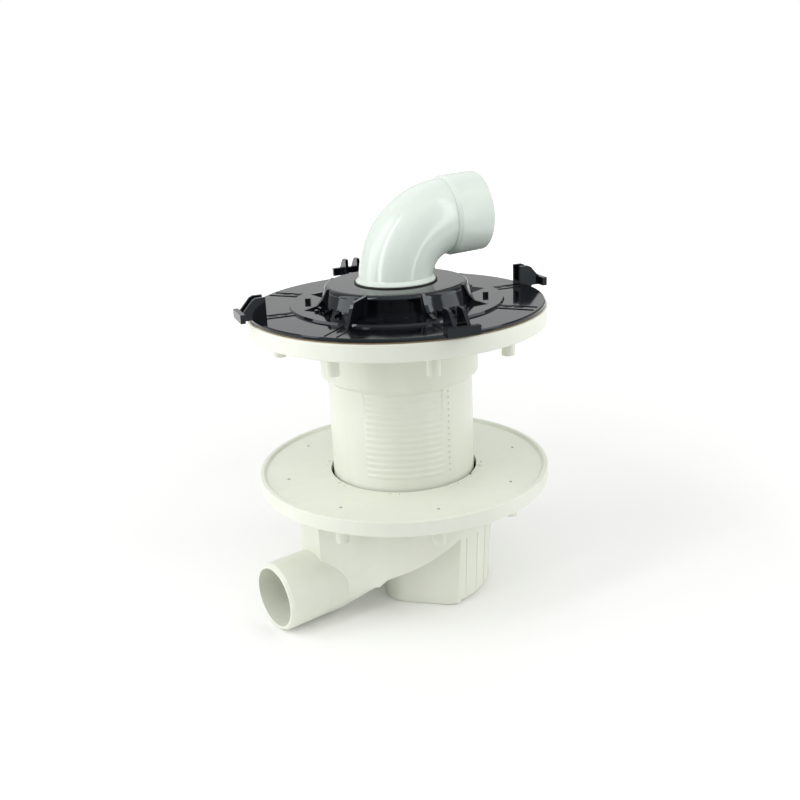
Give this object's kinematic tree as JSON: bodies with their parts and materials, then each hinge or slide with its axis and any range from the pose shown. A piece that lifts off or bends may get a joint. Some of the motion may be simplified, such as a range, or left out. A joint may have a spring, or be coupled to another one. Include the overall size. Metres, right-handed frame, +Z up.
{
  "type": "accessible shower trap",
  "caption": "Floor trap for a level-access shower: flanged trap body with side outlet, cut-to-length riser, black site cover and plug-in elbow.",
  "frame": {"origin": "on the riser's axis, at the level of the sump's flat underside", "axes": "+Z up along the riser's axis, -X out through the side outlet"},
  "size_m": [0.2379, 0.2318, 0.3099],
  "materials": {
    "body": "satin",
    "insert": "satin",
    "pipe": "gloss",
    "cover": "gloss",
    "gasket": "matt",
    "seal": "matt"
  },
  "bodies": {
    "root": {"trap_body": "body", "riser": "body", "riser_seal": "seal", "trap_insert": "insert", "insert_seal": "seal", "cover_gasket": "gasket", "cover": "cover", "elbow_seal": "seal", "elbow": "pipe"}
  },
  "joints": []
}
